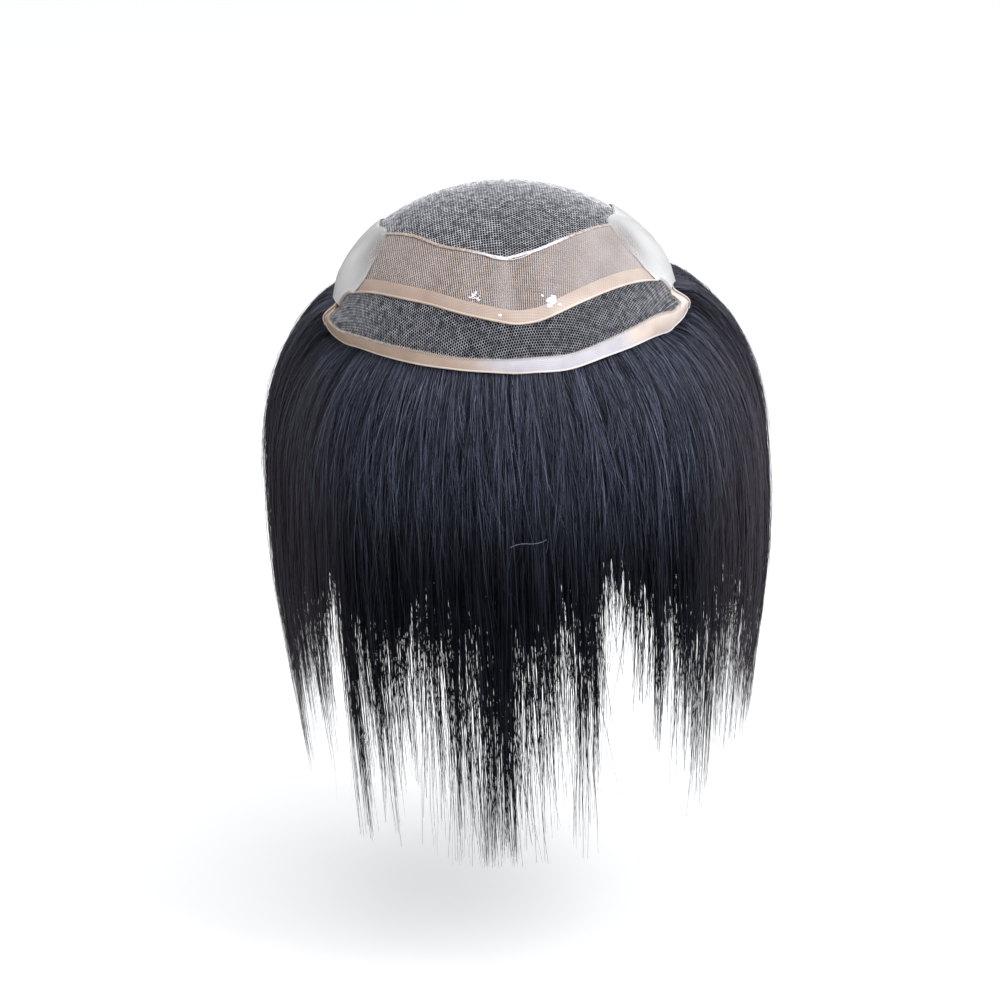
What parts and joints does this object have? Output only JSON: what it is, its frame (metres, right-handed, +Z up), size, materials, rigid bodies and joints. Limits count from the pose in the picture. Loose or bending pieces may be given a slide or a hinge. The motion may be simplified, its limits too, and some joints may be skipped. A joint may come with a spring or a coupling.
{
  "type": "toupee hairpiece",
  "caption": "Hairpiece stored skin side up: domed base of net, coated gauze, lace and clear skin, with straight dark hair hanging round it in pointed locks.",
  "frame": {"origin": "where the pressed hair under the crown rests on the top of a head", "axes": "+Z up, -Y towards the forehead edge, +X across to the wearer's left"},
  "size_m": [0.2235, 0.2333, 0.277],
  "materials": {
    "mesh": "fine open net of pale threads",
    "gauze": "beige gauze under a thin clear coat",
    "hem": "doubled beige gauze, coated",
    "lace": "six-sided net of pale threads",
    "edge_strip": "glossy coated beige tape",
    "clear_skin": "milky clear polyurethane film",
    "hair": "straight glossy black-brown hair"
  },
  "bodies": {
    "root": {"crown_mesh": "mesh", "gauze_band": "gauze", "gauze_hem": "hem", "front_lace": "lace", "front_edge_strip": "edge_strip", "clear_skin": "clear_skin", "hair_crown": "hair", "hair_front": "hair", "hair_left": "hair", "hair_right": "hair", "hair_back": "hair"}
  },
  "joints": []
}
